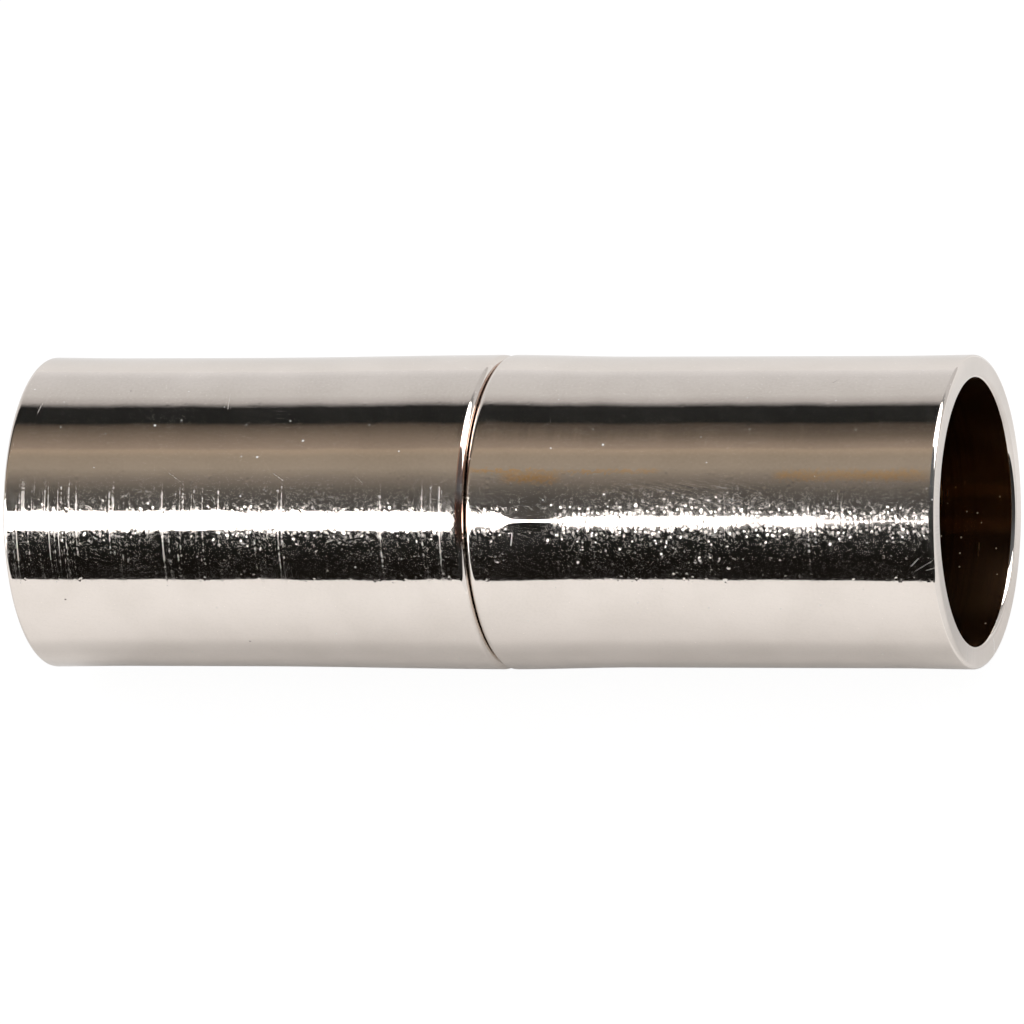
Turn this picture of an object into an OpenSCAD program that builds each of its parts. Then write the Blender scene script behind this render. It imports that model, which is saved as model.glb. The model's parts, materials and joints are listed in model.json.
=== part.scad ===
// Glue-in magnetic clasp: two round sleeves that meet end to end on two disc magnets.
// The axis of the clasp lies along X, with the plane where the halves meet at X = 0.
// The plug half is on the +X side, the socket half on the -X side. Millimetres.

/* [Sleeves] */
// Inner diameter of the pocket that the cord is glued into
bore_d = 6; // [3:0.25:10]
// Depth of the cord pocket, from the mouth to its floor
cord_depth = 7; // [4:0.25:15]
// Thickness of the sleeve round the cord
wall_t = 0.51; // [0.35:0.01:1]
// Thickness of the sleeve round its magnet
seat_wall_t = 0.73; // [0.4:0.01:1.2]
// Thickness of the web between cord pocket and magnet in the socket half
web_t = 0.55; // [0.3:0.05:2]

/* [Outside form] */
// Rounding of the outer edge of each mouth
rim_r = 0.12; // [0.02:0.01:0.16]
// Rounding of the inner edge of each mouth
lip_r = 0.11; // [0.02:0.01:0.12]
// How far the mouth flares out, on the radius
mouth_swell = 0.02; // [0:0.01:0.1]
// Length of the flare at the mouth
mouth_swell_l = 1.8; // [0.3:0.1:1.9]
// Rounding of the socket half's outer edge where the halves meet
socket_edge_r = 0.16; // [0.05:0.01:0.25]
// Rounding of the plug half's outer edge where the halves meet
plug_edge_r = 0.15; // [0.05:0.01:0.25]
// How far the sleeves swell towards the meeting plane, on the radius
meet_swell = 0.05; // [0:0.01:0.1]
// Length of the swell on the plug half
plug_swell_l = 3; // [0.5:0.1:4]
// Length of the swell on the socket half
socket_swell_l = 6; // [1:0.5:6]

/* [Magnets] */
// Thickness of each disc magnet
magnet_l = 2.5; // [1.5:0.25:5]
// Width of the bevel on the edges of the magnets
magnet_bevel = 0.12; // [0.05:0.01:0.3]
// How deep the socket's magnet lies below the meeting face of its sleeve
recess_l = 0.9; // [0.4:0.1:1.3]
// Width of the bevel at the open edge of each magnet seat
seat_bevel = 0.1; // [0.05:0.01:0.15]

/* [Clearances] */
// Gap between the two sleeves when the clasp is shut
meet_gap = 0.03; // [0.02:0.01:0.2]
// Gap between the two magnets when the clasp is shut
magnet_gap = 0.06; // [0.03:0.01:0.3]
// Gap round a magnet in its seat, on the radius
seat_clearance = 0.08; // [0.02:0.01:0.1]
// Layer of glue behind each magnet
glue_t = 0.03; // [0.01:0.01:0.1]

/* [Hidden] */

$fn = 96;
arc_steps = 8;
nickel = [0.74, 0.71, 0.68];
magnet_grey = [0.56, 0.57, 0.60];

// Radii from the axis
bore_r = bore_d / 2;
body_r = bore_r + wall_t;
meet_r = body_r + meet_swell;
mouth_r = body_r + mouth_swell;
seat_r = body_r - seat_wall_t;
magnet_r = seat_r - seat_clearance;

// Lengths from the meeting face of a sleeve
socket_seat_l = recess_l + magnet_l + glue_t;
sleeve_l = socket_seat_l + web_t + cord_depth;
magnet_proud_l = recess_l + meet_gap - magnet_gap;
plug_seat_l = magnet_l + glue_t - magnet_proud_l;

// Points of a round corner, from angle a0 to a1 about its centre
function corner(r, z, radius, a0, a1) = [
    for (i = [0 : arc_steps])
        let (a = a0 + (a1 - a0) * i / arc_steps)
        [r + radius * cos(a), z + radius * sin(a)]
];

// Half section of a sleeve, standing on its meeting face with its mouth up
module sleeve_section(seat_l, edge_r, swell_l) {
    floor_z = sleeve_l - cord_depth;
    polygon(concat(
        [[0, seat_l], [seat_r, seat_l], [seat_r, seat_bevel], [seat_r + seat_bevel, 0]],
        corner(meet_r - edge_r, edge_r, edge_r, -90, 0),
        [[body_r, swell_l], [body_r, sleeve_l - mouth_swell_l]],
        corner(mouth_r - rim_r, sleeve_l - rim_r, rim_r, 0, 90),
        corner(bore_r + lip_r, sleeve_l - lip_r, lip_r, 90, 180),
        [[bore_r, floor_z], [0, floor_z]]
    ));
}

// Half section of a disc magnet standing on one face
module magnet_section() {
    polygon([
        [0, 0],
        [magnet_r - magnet_bevel, 0],
        [magnet_r, magnet_bevel],
        [magnet_r, magnet_l - magnet_bevel],
        [magnet_r - magnet_bevel, magnet_l],
        [0, magnet_l]
    ]);
}

// Turns a section round the axis and lays it out to one side of the meeting plane
module turned(side, start) {
    rotate([0, side * 90, 0])
        translate([0, 0, start])
            rotate_extrude()
                children();
}

module socket_sleeve() {
    color(nickel)
        turned(-1, meet_gap / 2)
            sleeve_section(socket_seat_l, socket_edge_r, socket_swell_l);
}

module socket_magnet() {
    color(magnet_grey)
        turned(-1, meet_gap / 2 + recess_l)
            magnet_section();
}

module plug_sleeve() {
    color(nickel)
        turned(1, meet_gap / 2)
            sleeve_section(plug_seat_l, plug_edge_r, plug_swell_l);
}

// The plug's magnet stands out of its sleeve and into the socket's recess
module plug_magnet() {
    color(magnet_grey)
        turned(1, meet_gap / 2 - magnet_proud_l)
            magnet_section();
}

socket_sleeve();
socket_magnet();
plug_sleeve();
plug_magnet();
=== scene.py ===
import json
import math

import bmesh
import bpy
from mathutils import Matrix, Vector


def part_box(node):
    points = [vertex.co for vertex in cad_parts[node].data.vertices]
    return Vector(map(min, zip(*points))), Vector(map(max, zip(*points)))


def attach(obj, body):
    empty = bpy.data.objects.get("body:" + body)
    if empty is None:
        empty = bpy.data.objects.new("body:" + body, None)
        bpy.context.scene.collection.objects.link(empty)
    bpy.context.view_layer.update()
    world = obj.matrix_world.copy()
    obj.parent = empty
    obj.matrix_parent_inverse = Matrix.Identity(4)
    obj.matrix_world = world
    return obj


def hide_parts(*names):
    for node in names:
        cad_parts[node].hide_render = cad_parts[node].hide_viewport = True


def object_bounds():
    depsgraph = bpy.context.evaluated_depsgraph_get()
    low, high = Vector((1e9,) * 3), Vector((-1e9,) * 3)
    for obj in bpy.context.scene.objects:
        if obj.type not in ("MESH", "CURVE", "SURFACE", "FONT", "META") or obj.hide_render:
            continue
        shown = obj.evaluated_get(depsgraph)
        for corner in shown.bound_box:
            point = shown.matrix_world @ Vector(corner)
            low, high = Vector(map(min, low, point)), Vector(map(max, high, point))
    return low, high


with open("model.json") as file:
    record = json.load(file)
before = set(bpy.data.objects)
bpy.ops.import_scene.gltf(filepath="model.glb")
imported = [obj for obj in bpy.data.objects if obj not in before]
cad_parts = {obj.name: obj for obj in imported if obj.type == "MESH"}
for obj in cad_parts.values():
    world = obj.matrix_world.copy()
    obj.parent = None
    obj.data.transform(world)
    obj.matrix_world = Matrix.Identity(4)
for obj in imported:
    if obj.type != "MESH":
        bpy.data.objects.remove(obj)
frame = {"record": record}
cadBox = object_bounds()
scene = bpy.context.scene
mm = 0.001                      # the tables below are in millimetres, Blender is in metres
degrees = 180 / math.pi         # in a radian
print("frame loaded, box", [tuple(round(c / mm, 3) for c in corner) for corner in cadBox])


class Wire:                     # a node's output that can be used in plain arithmetic
    def __init__(self, graph, socket):
        self.graph = graph
        self.socket = socket

    def pair(self, operation, a, b):
        isVector = any(isinstance(v, Wire) and v.socket.type == "VECTOR" for v in (a, b))
        kind = "ShaderNodeVectorMath" if isVector else "ShaderNodeMath"
        return self.graph.add(kind, {"operation": operation}, {0: a, 1: b})

    def of(self, operation, out=0):         # an operation on this value alone
        kind = "ShaderNodeVectorMath" if self.socket.type == "VECTOR" else "ShaderNodeMath"
        return self.graph.add(kind, {"operation": operation}, {0: self}, out)

    def __add__(self, other):
        return self.pair("ADD", self, other)

    def __radd__(self, other):
        return self.pair("ADD", other, self)

    def __sub__(self, other):
        return self.pair("SUBTRACT", self, other)

    def __rsub__(self, other):
        return self.pair("SUBTRACT", other, self)

    def __mul__(self, other):
        return self.pair("MULTIPLY", self, other)

    def __rmul__(self, other):
        return self.pair("MULTIPLY", other, self)

    def __truediv__(self, other):
        return self.pair("DIVIDE", self, other)

    def __abs__(self):
        return self.of("ABSOLUTE")

    def __lt__(self, other):
        return self.pair("LESS_THAN", self, other)

    def __gt__(self, other):
        return self.pair("GREATER_THAN", self, other)

    def larger(self, other):
        return self.pair("MAXIMUM", self, other)

    def smaller(self, other):
        return self.pair("MINIMUM", self, other)

    def rise(self, low, high):              # 0 below low, 1 above high, an S between
        ends = {"Value": self, "From Min": low, "From Max": high}
        return self.graph.add("ShaderNodeMapRange", {"interpolation_type": "SMOOTHSTEP"}, ends)

    def step(self, low, high, much):        # the same rise, to another height
        return self.rise(low, high) * much

    def window(self, low, high, soft):      # 1 between low and high
        return self.rise(low - soft, low + soft) * (1 - self.rise(high - soft, high + soft))

    def inside(self, limit, core):          # 1 up to that share of the limit, 0 from the limit on
        return 1 - self.rise(limit * core, limit)

    def nearness(self, centre, half, core=0):       # 1 at the centre, 0 from half away on
        return (abs(self - centre) / half).inside(1, core)

    def between(self, low, high):           # 0 to 1 laid out from low to high
        return self * (high - low) + low

    def parts(self):                        # x, y and z of a vector
        return [self.graph.add("ShaderNodeSeparateXYZ", {}, {0: self}, axis) for axis in range(3)]

    def other(self, name):                  # another output of the same node
        return Wire(self.graph, self.socket.node.outputs[name])


class Graph:                    # a node tree being wired up
    def __init__(self, tree):
        self.tree = tree
        tree.nodes.clear()

    def add(self, kind, settings=None, inputs=None, out=0):
        node = self.tree.nodes.new(kind)
        for name, value in (settings or {}).items():
            if name == "stops":
                self.setStops(node.color_ramp, value)
            else:
                setattr(node, name, value)
        for name, value in (inputs or {}).items():
            if isinstance(value, Wire):
                self.tree.links.new(value.socket, node.inputs[name])
            else:
                node.inputs[name].default_value = value
        return Wire(self, node.outputs[out]) if node.outputs else node

    def setStops(self, ramp, stops):
        while len(ramp.elements) < len(stops):
            ramp.elements.new(1.0)
        for element, (place, colour) in zip(ramp.elements, stops):
            element.position = place
            element.color = (*colour, 1.0)

    def mixed(self, factor, a, b):          # colours a to b
        sides = {0: factor, 6: a, 7: b}
        return self.add("ShaderNodeMix", {"data_type": "RGBA"}, sides, 2)

    def vector(self, x, y, z):
        return self.add("ShaderNodeCombineXYZ", {}, {0: x, 1: y, 2: z})

    def noise(self, place, scale, detail=2.0, roughness=0.5):
        inputs = {"Vector": place, "Scale": scale, "Detail": detail, "Roughness": roughness}
        return self.add("ShaderNodeTexNoise", {}, inputs)

    def bump(self, microns):
        return self.add("ShaderNodeBump", {}, {"Height": microns, "Distance": 1e-6, "Strength": 1.0})


def rgb(*colour):
    return (*colour, 1.0)


def newMaterial(name):
    material = bpy.data.materials.new(name)
    material.use_nodes = True
    return material, Graph(material.node_tree)


# Camera: turned to the open mouth and looking down on the clasp, as a long macro lens sees it
view = dict(
    turn=18,                    # degrees towards the open mouth
    height=51.3,                # degrees above the floor
    distance=356,
    lens=553,
    sensor=36,
    clip=(0.01, 10),            # metres
)


def placeCamera():
    turn, height = math.radians(view["turn"]), math.radians(view["height"])
    level = Vector((0, -math.cos(height), math.sin(height)))
    back = Vector((1, 0, 0)) * math.sin(turn) + level * math.cos(turn)
    right = Vector((1, 0, 0)) * math.cos(turn) - level * math.sin(turn)
    up = back.cross(right)
    data = bpy.data.cameras.new("macro")
    data.lens = view["lens"]
    data.sensor_width = view["sensor"]
    data.clip_start, data.clip_end = view["clip"]
    camera = bpy.data.objects.new("macro", data)
    axes = Matrix((right, up, back)).transposed()
    camera.matrix_world = Matrix.Translation(back * view["distance"] * mm) @ axes.to_4x4()
    scene.collection.objects.link(camera)
    scene.camera = camera
    print("camera at", tuple(round(c, 4) for c in camera.location))


# Studio: all that stands round the clasp, but for the floor, is painted into the world. There is a
# grey and a warm card, a dark bar overhead, a white sweep behind, and three lights.
# Heights are degrees round the clasp's axis: 0 in front, 90 overhead, 180 behind.
# Sides are degrees out of the plane square to the axis, plus towards the open mouth.
studio = dict(
    room=1.2, roomBias=0.38,    # light on matt things, stronger from behind the clasp
    backdrop=(1.0, 1.0, 1.0),
    rampFrom=-20, rampTo=220,   # degrees of height that the walls' ramps cover
    walls=(
        (16, (0.008, 0.007, 0.006)),        # shade in front
        (25, (0.012, 0.012, 0.011)),
        (36, (0.02, 0.02, 0.02)),           # grey card
        (50, (0.07, 0.069, 0.066)),
        (60, (0.09, 0.086, 0.08)),
        (68, (0.14, 0.128, 0.112)),         # warm card
        (76, (0.25, 0.22, 0.185)),
        (84, (0.39, 0.335, 0.27)),
        (93, (0.38, 0.32, 0.25)),
        (98, (0.46, 0.37, 0.28)),           # its bright fold
        (100, (0.36, 0.29, 0.23)),
        (118.5, (0.11, 0.09, 0.07)),
        (121.5, (0.018, 0.019, 0.018)),     # dark bar
        (136, (0.020, 0.020, 0.020)),
        (141, (0.55, 0.53, 0.52)),          # white sweep
        (148, (0.72, 0.71, 0.70)),
        (171, (0.80, 0.795, 0.80)),
        (181, (0.96, 0.96, 0.97)),
    ),
    sideWalls=(                 # what stands to the side of the open mouth
        (0, (0.012, 0.012, 0.011)),
        (40, (0.045, 0.046, 0.046)),
        (58, (0.065, 0.067, 0.068)),
        (72, (0.12, 0.13, 0.14)),
        (92, (0.15, 0.16, 0.17)),
        (141, (0.30, 0.30, 0.30)),
        (150, (0.68, 0.67, 0.67)),
    ),
    sideRange=(-10, -4),        # where the side walls take over from the others
    cardShade=dict(             # the warm card is dimmer towards the mouth, below the bar
        sides=(-18.9, -17.1), heights=(106, 120, 5), much=0.3),
    strip=dict(                 # a narrow light in front, which ends towards the mouth
        height=44.6, half=6.9, soft=0.5, end=-15.3, glow=9.0,
        neck=(-18.3, -18.0, 0.47),          # gets narrower: from, to, by how much
        tip=(-17.7, -16.8, 0.95),           # and again: from, to, by how much of the rest
        tipDim=0.6,
        waist=(-20.4, -19.65, 0.12, 0.3),   # a narrower stretch: from, to, softness, by how much
        flare=(-30, 0.35),      # widens to the far end: from where, and how fast
    ),
    highLight=dict(             # behind, to the mouth's side
        heights=(100, 137, 1.5), sides=(-11, 62, 1.5), glow=6.0),
    endLight=dict(              # off the socket half's end, cut off at the top
        towards=(-0.98, -0.18, 0.11), wide=15, soft=2.0, top=(60, 70), glow=6.0),
)


def stripOfLight(height, aside):
    strip = studio["strip"]
    *neckSides, neckSlim = strip["neck"]
    *tipSides, tipSlim = strip["tip"]
    *waistSides, waistSlim = strip["waist"]
    flareFrom, flareRate = strip["flare"]
    neck = aside.step(*neckSides, neckSlim)
    ending = aside.rise(*tipSides)
    tip = ending * (1 - neckSlim) * tipSlim
    waist = aside.window(*waistSides) * waistSlim
    half = (1 - neck - tip - waist) * strip["half"] + (flareFrom - aside).larger(0) * flareRate
    off, soft = abs(height - strip["height"]), strip["soft"]
    line = 1 - off.rise(half - soft, half + soft)
    return line * (aside < strip["end"]) * (1 - ending * strip["tipDim"])


def wallRamp(g, height, walls):
    span = studio["rampTo"] - studio["rampFrom"]
    stops = [((h - studio["rampFrom"]) / span, colour) for h, colour in walls]
    place = (height - studio["rampFrom"]) / span
    return g.add("ShaderNodeValToRGB", {"stops": stops}, {0: place})


def lightStudio():
    world = bpy.data.worlds.new("studio")
    world.use_nodes = True
    world.cycles.sampling_method = "NONE"
    scene.world = world
    g = Graph(world.node_tree)
    direction = g.add("ShaderNodeTexCoord", out="Generated")
    x, y, z = direction.parts()
    height = z.pair("ARCTAN2", z, 0 - y) * degrees
    height = height + (height < -90) * 360          # -90 to 270
    aside = x.of("ARCSINE") * degrees

    card = studio["cardShade"]
    shade = aside.rise(*card["sides"]) * height.window(*card["heights"]) * card["much"]
    walls = g.mixed(shade, wallRamp(g, height, studio["walls"]), rgb(0, 0, 0))
    walls = g.mixed(aside.rise(*studio["sideRange"]), walls,
                    wallRamp(g, height, studio["sideWalls"]))
    strip = stripOfLight(height, aside) * studio["strip"]["glow"]
    high = studio["highLight"]
    patch = height.window(*high["heights"]) * aside.window(*high["sides"]) * high["glow"]
    end = studio["endLight"]
    towards = Vector(end["towards"]).normalized()
    facing = direction.pair("DOT_PRODUCT", direction, towards).other("Value")
    inner, outer = (math.cos(math.radians(end["wide"] + s * end["soft"])) for s in (-1, 1))
    lamp = facing.rise(outer, inner) * (z > 0) * (1 - height.rise(*end["top"])) * end["glow"]
    lights = strip.larger(patch).larger(lamp)
    lit = g.mixed(lights.smaller(1), walls, rgb(1, 1, 1))
    strength = lights.larger(1)

    path = g.add("ShaderNodeLightPath", out="Is Camera Ray")
    afterMatt = path.other("Diffuse Depth") > 0.5
    room = (1 + y * studio["roomBias"]) * studio["room"]
    colour = g.mixed(afterMatt, lit, rgb(1, 1, 1))
    colour = g.mixed(path, colour, rgb(*studio["backdrop"]))
    strength = strength * (1 - afterMatt) + room * afterMatt
    sky = g.add("ShaderNodeBackground", {}, {"Color": colour, "Strength": strength})
    g.add("ShaderNodeOutputWorld", {}, {"Surface": sky})
    print("studio lit")


# Floor: pale paper. Places are millimetres, y away from the camera and x towards the open mouth.
paper = dict(
    radius=1.2, corners=96,     # radius in metres
    # painted shade: the paper is darker behind the clasp
    front=(0.89, 0.88, 0.87), back=(0.83, 0.825, 0.82), fade=(-4, 10),
    contact=(-5.2, -3.7, 0.6, 0.13),        # shade along the clasp's foot: from, to, softness, depth
    mouthGlow=((10.6, 11.0, 1.0), (11.5, 12.4, 0.82)),      # a painted pool of light past the open mouth: from, to, tone
    fibre=dict(scale=900, detail=3, much=0.05),
    white=0.9, glow=1.05,       # how far the paper is lit up to the backdrop's white, and how bright
)


def layFloor():
    bm = bmesh.new()
    bmesh.ops.create_circle(bm, cap_ends=True, segments=paper["corners"], radius=paper["radius"])
    bmesh.ops.translate(bm, verts=bm.verts, vec=(0, 0, cadBox[0].z))
    mesh = bpy.data.meshes.new("floor")
    bm.to_mesh(mesh)
    bm.free()
    floor = bpy.data.objects.new("floor", mesh)
    scene.collection.objects.link(floor)
    material, g = newMaterial("palePaper")
    place = g.add("ShaderNodeTexCoord", out="Object")
    x, y = (part / mm for part in place.parts()[:2])
    # painted shade: darker paper behind the clasp
    tone = g.mixed(y.rise(*paper["fade"]), rgb(*paper["front"]), rgb(*paper["back"]))
    *foot, deep = paper["contact"]
    tone = g.mixed(y.window(*foot) * deep, tone, rgb(0, 0, 0))
    # a painted pool of light on the paper past the open mouth
    for start, end, pale in paper["mouthGlow"]:
        tone = g.mixed(x.rise(start, end), tone, rgb(pale, pale, pale))
    fibre = paper["fibre"]
    fleck = g.noise(place, fibre["scale"], fibre["detail"]) * fibre["much"]
    tone = g.mixed(fleck, tone, rgb(1, 1, 1))
    matt = g.add("ShaderNodeBsdfPrincipled", {},
                 {"Base Color": tone, "Roughness": 1.0, "Specular IOR Level": 0.0})
    glow = g.add("ShaderNodeEmission", {}, {"Color": rgb(1, 1, 1), "Strength": paper["glow"]})
    toCamera = g.add("ShaderNodeLightPath", out="Is Camera Ray") * paper["white"]
    look = g.add("ShaderNodeMixShader", {}, {0: toCamera, 1: matt, 2: glow})
    g.add("ShaderNodeOutputMaterial", {}, {"Surface": look})
    mesh.materials.append(material)
    print("floor laid")


# Sleeves: closed shells spun about the X axis from one outline, laid out from the meeting face
sleeve = dict(
    boreR=3.0,                  # the mounts' own radius, checked against the record below
    bodyR=3.51,
    seatR=2.78, seatBevel=0.1,
    meetGap=0.03,
    mouthSwell=0.02, mouthSwellL=1.8,
    rimRound=0.12, lipRound=0.11, pocketRound=0.12, seatRound=0.05,
    facets=dict(shoulder=16, rimOuter=14, rimInner=12, pocketCorner=4, seatCorner=3),
    support=0.02,               # from a rounding to the ring that keeps the flat beside it flat
    ringStep=0.35,              # distance between the rings of the mesh along the body
    spinSteps=256,
    cutSlack=1e-4, mergeSlack=1e-5,
    wallSlack=0.001,            # how far a face may lie off the wall that it is counted to
)
halves = dict(
    socket=dict(side=-1, seatL=3.43, edgeRound=0.16, swellL=6.0),
    plug=dict(side=1, seatL=1.66, edgeRound=0.15, swellL=3.0),
)
boreSlot, seatSlot = 1, 2       # after the plate's


def easing(t):
    t = min(max(t, 0.0), 1.0)
    return t * t * (3 - 2 * t)


def roundCorner(bm, corner, size, steps):
    bmesh.ops.bevel(bm, geom=[corner], offset=size, offset_type="OFFSET", segments=steps,
                    profile=0.5, affect="VERTICES", material=-1)


def sleeveOutline(half, length, floorAt):
    bm = bmesh.new()
    bodyR, boreR, seatR = sleeve["bodyR"], sleeve["boreR"], sleeve["seatR"]
    bevel = sleeve["seatBevel"]
    outline = dict(
        seatAxis=(half["seatL"], 0), seatCorner=(half["seatL"], seatR), seatMouth=(bevel, seatR),
        seatEdge=(0, seatR + bevel), shoulder=(0, bodyR), rimOuter=(length, bodyR),
        rimInner=(length, boreR), pocketCorner=(floorAt, boreR), pocketAxis=(floorAt, 0),
    )
    corners = {name: bm.verts.new((s, 0, r)) for name, (s, r) in outline.items()}
    face = bm.faces.new(corners.values())
    axisEdge = bm.edges.get((corners["seatAxis"], corners["pocketAxis"]))
    bmesh.ops.delete(bm, geom=[face], context="FACES_ONLY")
    bmesh.ops.delete(bm, geom=[axisEdge], context="EDGES")
    return bm, corners


def cutOutline(bm, place, across):
    bmesh.ops.bisect_plane(bm, geom=bm.verts[:] + bm.edges[:], dist=sleeve["cutSlack"],
                           plane_co=place, plane_no=across)


def spinShell(bm):
    bmesh.ops.spin(bm, geom=bm.verts[:] + bm.edges[:], cent=(0, 0, 0), axis=(1, 0, 0),
                   dvec=(0, 0, 0), angle=2 * math.pi, steps=sleeve["spinSteps"],
                   use_merge=True, use_duplicate=False)
    bmesh.ops.remove_doubles(bm, verts=bm.verts, dist=sleeve["mergeSlack"])
    bmesh.ops.recalc_face_normals(bm, faces=bm.faces)


def finishPiece(bm, name, materials):
    bmesh.ops.scale(bm, vec=(mm, mm, mm), verts=bm.verts)
    mesh = bpy.data.meshes.new(name)
    bm.to_mesh(mesh)
    bm.free()
    for material in materials:
        mesh.materials.append(material)
    mesh.polygons.foreach_set("use_smooth", [True] * len(mesh.polygons))
    piece = bpy.data.objects.new(name, mesh)
    scene.collection.objects.link(piece)
    print(name, "has", len(mesh.polygons), "faces")
    return piece


def roundAndRing(bm, corners, sizes, length):       # rings lie beside and between the roundings
    for corner, size in sizes.items():
        roundCorner(bm, corners[corner], size, sleeve["facets"][corner])
    clear = {corner: size + sleeve["support"] for corner, size in sizes.items()}
    rings = int(length / sleeve["ringStep"])
    places = [length * i / rings for i in range(1, rings)]
    places += [clear["shoulder"], length - clear["rimOuter"], length - clear["rimInner"]]
    radii = (sleeve["bodyR"] - clear["shoulder"], sleeve["seatR"] - clear["seatCorner"],
             sleeve["bodyR"] - clear["rimOuter"], sleeve["boreR"] + clear["rimInner"],
             sleeve["boreR"] - clear["pocketCorner"])
    for place in places:
        cutOutline(bm, (place, 0, 0), (1, 0, 0))
    for radius in radii:
        cutOutline(bm, (0, 0, radius), (0, 0, 1))


def swellOutside(bm, half, length, meetSwell):      # towards both ends
    midWall = (sleeve["boreR"] + sleeve["bodyR"]) / 2
    for v in bm.verts:
        if v.co.z > midWall:
            swell = meetSwell * (1 - easing(v.co.x / half["swellL"]))
            flare = sleeve["mouthSwell"] * easing(1 - (length - v.co.x) / sleeve["mouthSwellL"])
            v.co.z += swell + flare


def assignSlots(bm, floorAt):               # the bore and the magnet's seat get metals of their own
    slack = sleeve["wallSlack"]
    for face in bm.faces:
        centre = face.calc_center_median()
        radius = math.hypot(centre.y, centre.z)
        if centre.x > floorAt - slack and radius < sleeve["boreR"] + slack:
            face.material_index = boreSlot
        elif radius < sleeve["seatR"] + slack:
            face.material_index = seatSlot


def makeSleeve(name, half, materials):
    node = f"{name}_sleeve"
    low, high = (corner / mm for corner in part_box(node))
    length = high.x - low.x
    mount = next(m for m in frame["record"]["mounts"] if m["name"] == f"{name}_cord_bore")
    assert math.isclose(mount["dims"]["r_mm"], sleeve["boreR"]), "the bore follows the mount"
    floorAt = length - mount["dims"]["length_mm"] - sleeve["lipRound"]

    bm, corners = sleeveOutline(half, length, floorAt)
    sizes = dict(
        shoulder=half["edgeRound"], rimOuter=sleeve["rimRound"], rimInner=sleeve["lipRound"],
        pocketCorner=sleeve["pocketRound"], seatCorner=sleeve["seatRound"],
    )
    roundAndRing(bm, corners, sizes, length)
    swellOutside(bm, half, length, high.z - sleeve["bodyR"])
    spinShell(bm)
    assignSlots(bm, floorAt)
    if half["side"] < 0:
        halfTurn = Matrix.Rotation(math.pi, 3, "Z")
        bmesh.ops.rotate(bm, verts=bm.verts, cent=(0, 0, 0), matrix=halfTurn)
    bmesh.ops.translate(bm, verts=bm.verts, vec=(half["side"] * sleeve["meetGap"] / 2, 0, 0))
    piece = finishPiece(bm, f"{name}SleeveFinished", materials)
    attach(piece, f"{name}_half")
    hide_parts(node)


# Magnets: satin discs with rounded edges
magnet = dict(edgeRound=0.12, facets=5)


def makeMagnet(name, material):
    node = f"{name}_magnet"
    low, high = (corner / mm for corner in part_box(node))
    bm = bmesh.new()
    radius = high.z
    places = ((low.x, 0), (low.x, radius), (high.x, radius), (high.x, 0))
    verts = [bm.verts.new((x, 0, r)) for x, r in places]
    for a, b in zip(verts, verts[1:]):
        bm.edges.new((a, b))
    for corner in verts[1:3]:
        roundCorner(bm, corner, magnet["edgeRound"], magnet["facets"])
    spinShell(bm)
    piece = finishPiece(bm, f"{name}MagnetFinished", [material])
    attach(piece, f"{name}_half")
    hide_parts(node)


# Marks on the metals: the range of their sizes, and the share of a width or a length that is at
# full strength
marks = dict(sizes=(0.5, 1.5), core=0.3, strokeCore=0.6, hairCore=0.5)


def millimetres(g):             # the piece's own coordinates
    return g.add("ShaderNodeTexCoord", out="Object") * (1 / mm, 1 / mm, 1 / mm)


def unrolled(g, place, radius):             # along the clasp and round it, laid flat
    x, y, z = place.parts()
    return g.vector(x, y.pair("ARCTAN2", y, z) * radius, 0)


def pointCells(g, skin, size, out=0):       # points scattered over the skin, one to a cell
    return g.add("ShaderNodeTexVoronoi", {"voronoi_dimensions": "2D"},
                 {"Vector": skin, "Scale": 1 / size}, out)


def dust(g, skin, look):                    # round specks, at most one to a cell
    spot = pointCells(g, skin, look["cell"])
    chance, big = spot.other("Color").parts()[:2]
    edge = big.between(*marks["sizes"]) * look["size"]
    speck = 1 - (spot * look["cell"]).rise(look["size"] * marks["core"], edge)
    return speck * (chance < look["keep"])


def alongAndAcross(dx, dy, c, s):           # distances in a frame turned by an angle
    return abs(dx * c + dy * s), abs(dy * c - dx * s)


def hairlines(g, skin, look):               # short straight scratches, at most one to a cell
    middle = pointCells(g, skin, look["cell"], "Position")
    chance, spin, size = middle.other("Color").parts()
    dx, dy = (skin - middle).parts()[:2]
    angle = (spin - 0.5) * math.radians(look["spread"]) + math.radians(look["lean"])
    along, across = alongAndAcross(dx, dy, angle.of("COSINE"), angle.of("SINE"))
    reach = size.between(*marks["sizes"]) * look["half"]
    line = (along / reach).inside(1, marks["hairCore"]) * across.inside(look["width"], marks["core"])
    return line * (chance < look["keep"])


def strokeAt(g, skin, along, turn, half, width, lean):      # one mark in its own place
    dx, dy = (skin - (along, math.radians(turn) * sleeve["bodyR"], 0)).parts()[:2]
    tilt = math.radians(lean)
    run, off = alongAndAcross(dx, dy, math.cos(tilt), math.sin(tilt))
    return run.inside(half, marks["strokeCore"]) * off.inside(width, marks["core"])


def strongest(masks):
    total = masks[0]
    for mask in masks[1:]:
        total = total.larger(mask)
    return total


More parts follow.
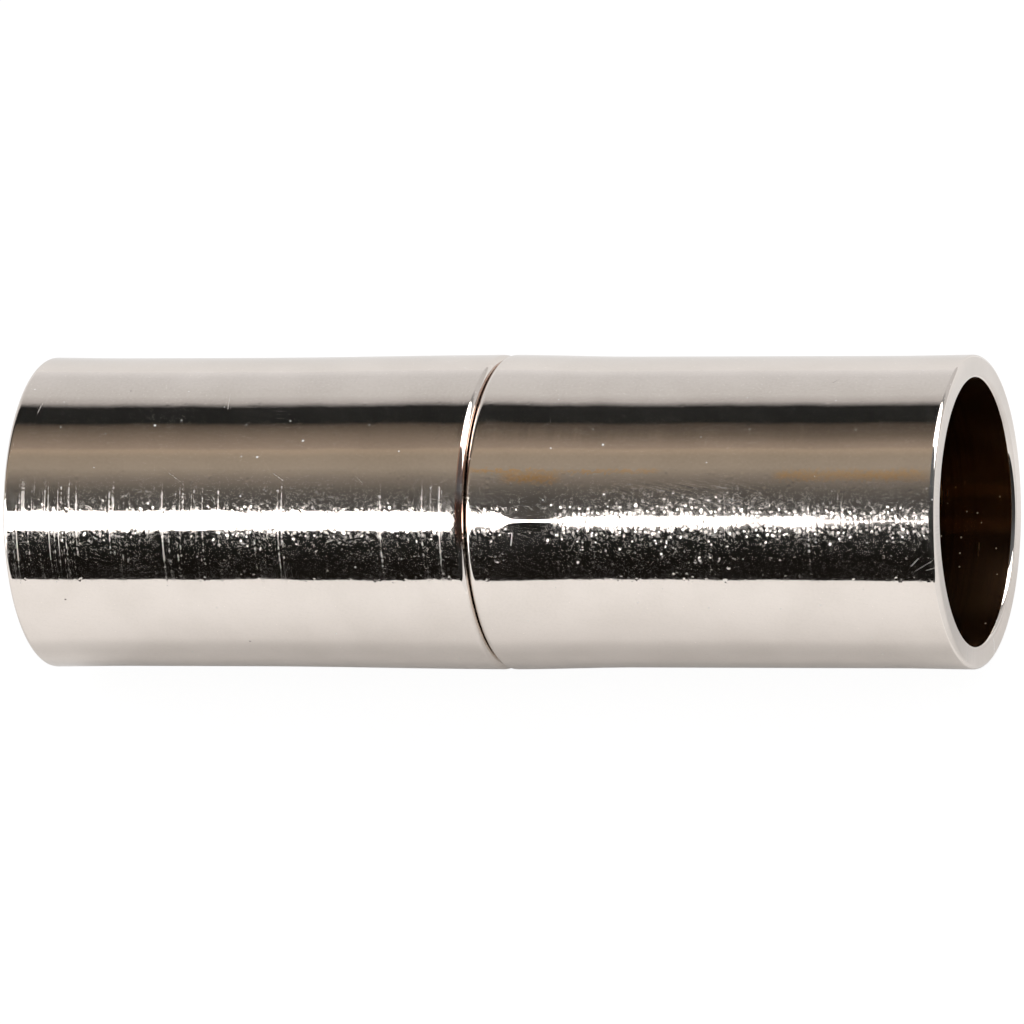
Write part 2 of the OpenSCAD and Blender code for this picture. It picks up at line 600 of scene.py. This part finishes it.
# Polished plate, the outside of both sleeves. Places are millimetres along the clasp and
# degrees of turn from the top, minus in front.
plate = dict(
    light=(0.785, 0.725, 0.676), dark=(0.708, 0.652, 0.603),
    cloudTone=(0.3, 0.7, 0.6), mottleTone=(0.3, 0.7, 0.4),      # what each does to the colour
    grazing=0.85,               # how much light is kept at a grazing angle
    roughness=0.032, cloudRough=0.02,
    drift=0.7, waviness=0.03,   # slow changes to the millimetre, and how far they lean the surface
    mottle=15,                  # fine changes to the millimetre
    worn=(-60, -27, 6, 0.15),   # where handling shows: from, to, softness, and how much elsewhere
    calm=(-45.2, -38.6, 1.0, 0.15),         # a ridge polished smooth: from, to, softness, what is left
    above=(2, 0.25, 0.8),       # over that ridge: fading in, dents and their extra depth weaker by
    dents=dict(cell=0.11, size=0.065, sizes=(0.5, 1.2), keep=0.85, lean=0.26, warp=0.12,
               rough=0.13, calmRough=0.4),  # the second is the share of it that the ridge keeps
    coarse=((0.4, 1.9, 0.7), (1.9, 6.4, 0.85), (6.4, 8.8, 0.35)),      # where the dents are deeper
    coarseSoft=0.4,
    clumps=dict(scale=(1.4, 4.0, 4.0), edge=(0.36, 0.6), much=(0.5, 1.4)),      # of deeper dents
    wipe=dict(along=1.8, across=34, slant=8, lean=0.008),       # changes to the millimetre, slant, lean
    haze=dict(along=5.2, halfL=3.0, turn=-32.5, halfT=7, core=0.2, lean=0.36, rough=0.04),
    veil=dict(rough=0.33,       # light scattered by wiped lines and mottle, more of it in the haze
              lines=(0.48, 0.85, 0.24), mottle=(0.53, 0.78, 0.36), patch=(0.45, 0.75, 0.3),
              clouds=(0.36, 0.62), least=0.45),
    brush=dict(scale=(22, 0.4, 0.4), cut=(0.52, 0.75), rough=0.05, lean=0.02),
    bands=((-10.95, -9.3, 1.0), (-8.5, -8.0, 0.7), (-7.25, -6.1, 0.5), (-5.0, -4.8, 0.6),
           (-4.45, -4.3, 0.8), (-1.1, -0.5, 0.7), (7.9, 8.1, 0.4)),
    bandSoft=0.04, bandCut=(0.54, 0.74), bandRough=0.2,
    tallLines=(-9.22, -7.17, -6.37, -5.83, -4.85, -4.41, -4.32, -1.97, -0.98, -0.57),
    lineWidth=0.035, lineRough=0.26,
    lineFade=dict(scale=(3.0, 0.6, 0.6), edge=(0.35, 0.6), least=0.4),
    rollOff=(-0.36, 0.18, 0.024),           # the socket half's edge turning down: from, run, lean
    flattened=(                 # the swells taken out of the gloss: from, run, lean
        (0.015, 3.0, -0.1), (9.195, 1.8, 0.067), (-10.995, 1.8, -0.067)),
    scratches=(                 # along, turn, length, lean
        (-6.90, -25.7, 0.42, -33), (-4.43, -25.7, 0.42, -33), (-2.46, -27.2, 0.22, -38),
        (0.40, -38.0, 0.33, -43), (1.12, -48.7, 0.42, 80), (10.7, -58.6, 0.67, 30),
        (-10.4, 3.2, 0.37, 80), (-5.92, 6.4, 0.64, -83), (10.5, -57.2, 0.40, 44),
        (10.85, -59.8, 0.34, 16),
    ),
    scratchWidth=0.013, scratchRough=0.25,
    fineScratches=dict(cell=0.30, half=0.11, width=0.009, keep=0.45, lean=-28, spread=110, much=0.5),
    blister=dict(along=1.57, turn=-42.0, halfL=0.85, halfT=0.36, lean=2.2, most=0.11,
                 quiet=0.5),    # how much weaker the other marks are in its middle
    dust=dict(cell=0.9, size=0.018, keep=0.35),
    brightSpecks=((-7.54, -4.8), (-3.93, -11.6), (-4.97, -18.1), (3.17, -13.3)),
    darkSpecks=((-8.37, 12.7), (-9.69, -73.0), (-5.60, -95.1)),
    speckSize=0.03,
    hair=(8.24, 17.7, 0.13, 0.012, 50),     # along, turn, half its length, width, lean
    darkCover=0.8, dustRough=0.4,
    paleDust=(0.7, 0.69, 0.67), darkDust=(0.09, 0.07, 0.06),
    yellowReflections=(                    # painted yellowish reflections: from, to, turn, half height, strength
        (0.15, 4.5, -23.7, 1.0, 0.8), (0.9, 2.2, -25.9, 3.6, 1.0), (7.3, 10.8, -25.2, 3.2, 0.75)),
    reflectionSoft=0.2, reflectionWarp=38,            # the second in degrees to the millimetre of the dents' warp
    reflectionShares=dict(streak=0.4, mottle=(0.35, 0.6, 0.3), least=0.3),
    streaks=dict(scale=(0.8, 2.5, 2.5), edge=(0.3, 0.6)),
    reflectionYellow=(0.95, 0.64, 0.33),
    copper=(0.60, 0.30, 0.21),
    copperPatches=(                      # copper tint on the meeting edges: along from, to, turn from, to, strength
        (0.0, 0.09, -45, 60, 0.45), (-0.20, -0.04, -50, -31, 0.85), (-0.19, -0.05, -31, -6, 0.6)),
    copperSoft=(0.02, 5), copperLeast=0.4,
)


def wheelMarks(g, place, x, worn):          # rings left by the polishing wheel, and their roughness
    brush, fading = plate["brush"], plate["lineFade"]
    rings = g.noise(place * brush["scale"], 1.0, 0.0)
    fade = g.noise(place * fading["scale"], 1.0, 0.0).rise(*fading["edge"])
    bands = strongest([x.window(start, end, plate["bandSoft"]) * much
                       for start, end, much in plate["bands"]])
    lines = strongest([x.nearness(line, plate["lineWidth"]) for line in plate["tallLines"]])
    banded = rings.rise(*plate["bandCut"]) * bands * plate["bandRough"]
    lined = lines * fade.between(fading["least"], 1) * plate["lineRough"]
    brushed = rings.rise(*brush["cut"]) * worn * brush["rough"]
    return rings, brushed + banded.larger(lined) * worn


def pinch(x, arc):              # a blister that pinches the line of light: its reach and its lean
    blister = plate["blister"]
    off = arc - math.radians(blister["turn"]) * sleeve["bodyR"]
    near = (1 - abs(x - blister["along"]) / blister["halfL"]).larger(0)
    lean = (off * blister["lean"]).smaller(blister["most"]).larger(-blister["most"])
    return near, lean * (near * (abs(off) / blister["halfT"]).inside(1, marks["core"]))


def shallowDents(g, place, x, turn, warped, quiet):     # lean along, lean round, and roughness
    dents, clumps = plate["dents"], plate["clumps"]
    pits = pointCells(g, warped, dents["cell"], "Position")
    depth, chance, big = pits.other("Color").parts()
    depth = (depth - 0.5) * 2
    off = warped - pits
    size = big.between(*dents["sizes"]) * dents["size"]
    reach = (off.of("LENGTH", "Value") / size).inside(1, marks["core"])
    reach = reach * (chance < dents["keep"]) * quiet
    low, high, soft, left = plate["calm"]
    fading, weaker, flatter = plate["above"]
    upper = turn.rise(high, high + fading)
    calm = (1 - turn.window(low, high, soft) * (1 - left)) * (1 - upper * weaker)
    coarse = strongest([x.window(start, end, plate["coarseSoft"]) * more
                        for start, end, more in plate["coarse"]])
    coarse = coarse * (1 - upper * flatter)
    clump = g.noise(place * clumps["scale"], 1.0, 1.0).rise(*clumps["edge"])
    dented = depth * depth * depth * reach * (coarse + 1) * calm * clump.between(*clumps["much"])
    dented = dented * (dents["lean"] / dents["size"])
    offX, offArc = off.parts()[:2]
    rough = reach * calm.between(dents["calmRough"], 1) * dents["rough"]
    return offX * dented, offArc * dented, rough


def slowLean(x):                # the rolled-off edge, and the swells taken out of the gloss
    start, run, tilt = plate["rollOff"]
    edge = ((x - start) / run).larger(0)
    total = edge * edge * tilt * (x < 0)
    for start, run, tilt in plate["flattened"]:
        t = ((x - start) / run).larger(0).smaller(1)
        total = total + t * (1 - t) * tilt
    return total


def leaning(g, place, along, across):       # the surface leant along the clasp and round it
    y, z = place.parts()[1:]
    across = across / sleeve["bodyR"]
    lean = g.vector(along, across * z, across * y * -1)
    return (g.add("ShaderNodeNewGeometry", out="Normal") + lean).of("NORMALIZE")


def lyingDust(g, skin):         # pale and dark specks, and a dark hair
    size = plate["speckSize"]
    pale, dark = ([strokeAt(g, skin, along, turn, size, size, 0) for along, turn in plate[kind]]
                  for kind in ("brightSpecks", "darkSpecks"))
    return (strongest([dust(g, skin, plate["dust"])] + pale),
            strongest([strokeAt(g, skin, *plate["hair"])] + dark))


def plateColour(g, place, x, turn, cloud, mottle, warpArc):     # clouds, painted yellowish reflections, a copper tint
    colour = g.mixed(cloud.step(*plate["cloudTone"]) + mottle.step(*plate["mottleTone"]),
                     rgb(*plate["dark"]), rgb(*plate["light"]))
    streaks, shares = plate["streaks"], plate["reflectionShares"]
    streak = g.noise(place * streaks["scale"], 1.0, 1.0).rise(*streaks["edge"])
    blurred = turn + warpArc * plate["reflectionWarp"]
    # painted yellowish reflections, in streaky patches along the front
    reflectionMask = strongest([
        x.window(start, end, plate["reflectionSoft"]) * blurred.nearness(atTurn, half) * much
        for start, end, atTurn, half, much in plate["yellowReflections"]])
    reflectionMask = reflectionMask * (streak * shares["streak"] + mottle.step(*shares["mottle"]) + shares["least"])
    colour = g.mixed(reflectionMask, colour, rgb(*plate["reflectionYellow"]))
    softX, softTurn = plate["copperSoft"]
    # a copper tint on both halves' meeting edges
    coppered = strongest([x.window(start, end, softX) * turn.window(low, high, softTurn) * much
                        for start, end, low, high, much in plate["copperPatches"]])
    return g.mixed(coppered * streak.between(plate["copperLeast"], 1), colour, rgb(*plate["copper"]))


def plateMaterial():
    material, g = newMaterial("polishedPlate")
    place = millimetres(g)
    skin = unrolled(g, place, sleeve["bodyR"])
    x, arc = skin.parts()[:2]
    turn = arc * (degrees / sleeve["bodyR"])
    driftX, driftArc, cloud = g.noise(place, plate["drift"], 3).other("Color").parts()
    mottle = g.noise(skin, plate["mottle"], 2)
    warpX, warpArc = [(part - 0.5) * plate["dents"]["warp"]
                      for part in mottle.other("Color").parts()[:2]]
    warped = g.vector(x + warpX, arc + warpArc, 0)
    *front, elsewhere = plate["worn"]
    worn = turn.window(*front).between(elsewhere, 1)
    near, pinched = pinch(x, arc)
    quiet = worn * (1 - near * plate["blister"]["quiet"])

    # Scratches, a patch of fine wiped lines, and the light that such lines scatter
    fine = plate["fineScratches"]
    scored = [strokeAt(g, skin, along, atTurn, length / 2, plate["scratchWidth"], lean)
              for along, atTurn, length, lean in plate["scratches"]]
    scored = strongest(scored + [hairlines(g, skin, fine) * worn * fine["much"]])
    wipe, haze, veil = plate["wipe"], plate["haze"], plate["veil"]
    lines = g.vector(x * wipe["along"], arc * wipe["across"] + x * wipe["slant"], 0)
    wiped = g.noise(lines, 1.0, 1.0)
    patch = (x.nearness(haze["along"], haze["halfL"], haze["core"])
             * turn.nearness(haze["turn"], haze["halfT"], haze["core"]))
    scatter = (wiped.step(*veil["lines"]) + mottle.step(*veil["mottle"])
               + wiped.step(*veil["patch"]) * patch) * quiet
    scatter = scatter * cloud.rise(*veil["clouds"]).between(veil["least"], 1)

    rings, ringRough = wheelMarks(g, place, x, worn)
    dentX, dentArc, dentRough = shallowDents(g, place, x, turn, warped, quiet)
    leanX = ((driftX - 0.5) * plate["waviness"] + (rings - 0.5) * plate["brush"]["lean"]
             + dentX + slowLean(x))
    leanArc = ((driftArc - 0.5) * plate["waviness"] + dentArc + pinched
               + (wiped - 0.5) * (patch * haze["lean"] + wipe["lean"]))

    pale, dark = lyingDust(g, skin)
    lying = pale.larger(dark * plate["darkCover"])
    colour = plateColour(g, place, x, turn, cloud, mottle, warpArc)
    colour = g.mixed(lying, colour, g.mixed(dark, rgb(*plate["paleDust"]), rgb(*plate["darkDust"])))
    rough = (cloud * plate["cloudRough"] + plate["roughness"] + ringRough
             + scored * plate["scratchRough"] + patch * haze["rough"] + dentRough
             + lying * plate["dustRough"])
    grazing = rgb(plate["grazing"], plate["grazing"], plate["grazing"])
    metal = g.add("ShaderNodeBsdfPrincipled", {}, {
        "Base Color": colour, "Metallic": 1 - lying, "Roughness": rough, "Specular Tint": grazing,
        "Normal": leaning(g, place, leanX, leanArc)})
    scattering = g.add("ShaderNodeBsdfPrincipled", {}, {
        "Base Color": colour, "Metallic": 1.0, "Roughness": veil["rough"], "Specular Tint": grazing})
    look = g.add("ShaderNodeMixShader", {}, {0: scatter, 1: metal, 2: scattering})
    g.add("ShaderNodeOutputMaterial", {}, {"Surface": look})
    return material


# Turned metal: the tool's rings run round the walls and in circles over the flats
turned = dict(
    bore=dict(light=(0.25, 0.145, 0.075), dark=(0.18, 0.095, 0.045), roughness=0.25, spread=0.10,
              rings=9, ringHeight=0.9, grain=0.8, dust=dict(cell=0.42, size=0.022, keep=0.45),
              settled=(0.5, 0.85),          # dust lies low: shares of the radius below the axis
              reflectionTint=(0.92, 0.51, 0.21),      # painted reflections, bands along the wall: turn, half width, strength
              bands=((134, 24, 0.4), (131.8, 4, 0.5), (147, 5, 0.45))),
    seat=dict(light=(0.72, 0.60, 0.44), dark=(0.60, 0.48, 0.34), roughness=0.28, spread=0.14,
              rings=13, ringHeight=1.6, grain=0.8, dust=dict(cell=0.8, size=0.02, keep=0.3)),
    magnetFace=dict(light=(0.60, 0.61, 0.63), dark=(0.50, 0.51, 0.535), roughness=0.24, spread=0.12,
                    rings=16, ringHeight=0.9, grain=1.4, dust=dict(cell=0.7, size=0.02, keep=0.35)),
)
turnedAlike = dict(             # what the three have in common
    ringTone=(0.35, 0.65, 0.6), cloudTone=(0.3, 0.7, 0.4),      # what each does to the colour
    cloudScale=0.9, grainScale=11,
    flatFrom=0.7,               # a surface is a flat when its normal runs this far along the axis
    bandCore=0.2,
    speck=(0.5, 0.44, 0.37),
)


def turnedMaterial(name, look):
    material, g = newMaterial(name)
    place = millimetres(g)
    x, y, z = place.parts()
    radius = (y * y + z * z).of("SQRT")
    rings = g.noise(g.vector(x, radius, 0), look["rings"], 3)
    cloud = g.noise(place, turnedAlike["cloudScale"], 3)
    tone = rings.step(*turnedAlike["ringTone"]) + cloud.step(*turnedAlike["cloudTone"])
    colour = g.mixed(tone, rgb(*look["dark"]), rgb(*look["light"]))
    arc = unrolled(g, place, sleeve["boreR"]).parts()[1]
    turn = arc * (degrees / sleeve["boreR"])
    normal = g.add("ShaderNodeTexCoord", out="Normal")
    flat = abs(normal.parts()[0]) > turnedAlike["flatFrom"]
    wall = 1 - flat
    # painted reflections: warm, brighter bands round the bore's wall
    for atTurn, half, much in look.get("bands", ()):
        paintedReflection = turn.nearness(atTurn, half, turnedAlike["bandCore"]) * wall * much
        colour = g.mixed(paintedReflection, colour, rgb(*look["reflectionTint"]))
    skin = g.vector(x * wall + y * flat, arc * wall + z * flat, 0)
    speck = dust(g, skin, look["dust"])
    if "settled" in look:
        speck = speck * (z / -sleeve["boreR"]).rise(*look["settled"])
    colour = g.mixed(speck, colour, rgb(*turnedAlike["speck"]))
    grain = g.noise(place, turnedAlike["grainScale"], 2)
    height = rings * look["ringHeight"] + grain * look["grain"]
    rough = (cloud - 0.5) * look["spread"] + look["roughness"] + (rings - 0.5) * look["spread"]
    metal = g.add("ShaderNodeBsdfPrincipled", {}, {
        "Base Color": colour, "Metallic": 1 - speck, "Roughness": rough, "Normal": g.bump(height)})
    g.add("ShaderNodeOutputMaterial", {}, {"Surface": metal})
    return material


scene.view_settings.view_transform = "Standard"
scene.cycles.max_bounces = 8
scene.cycles.glossy_bounces = 8
placeCamera()
lightStudio()
layFloor()
surfaces = [plateMaterial(), turnedMaterial("turnedBore", turned["bore"]),
            turnedMaterial("turnedSeat", turned["seat"])]
magnetFace = turnedMaterial("magnetFace", turned["magnetFace"])
for name, half in halves.items():
    makeSleeve(name, half, surfaces)
    makeMagnet(name, magnetFace)
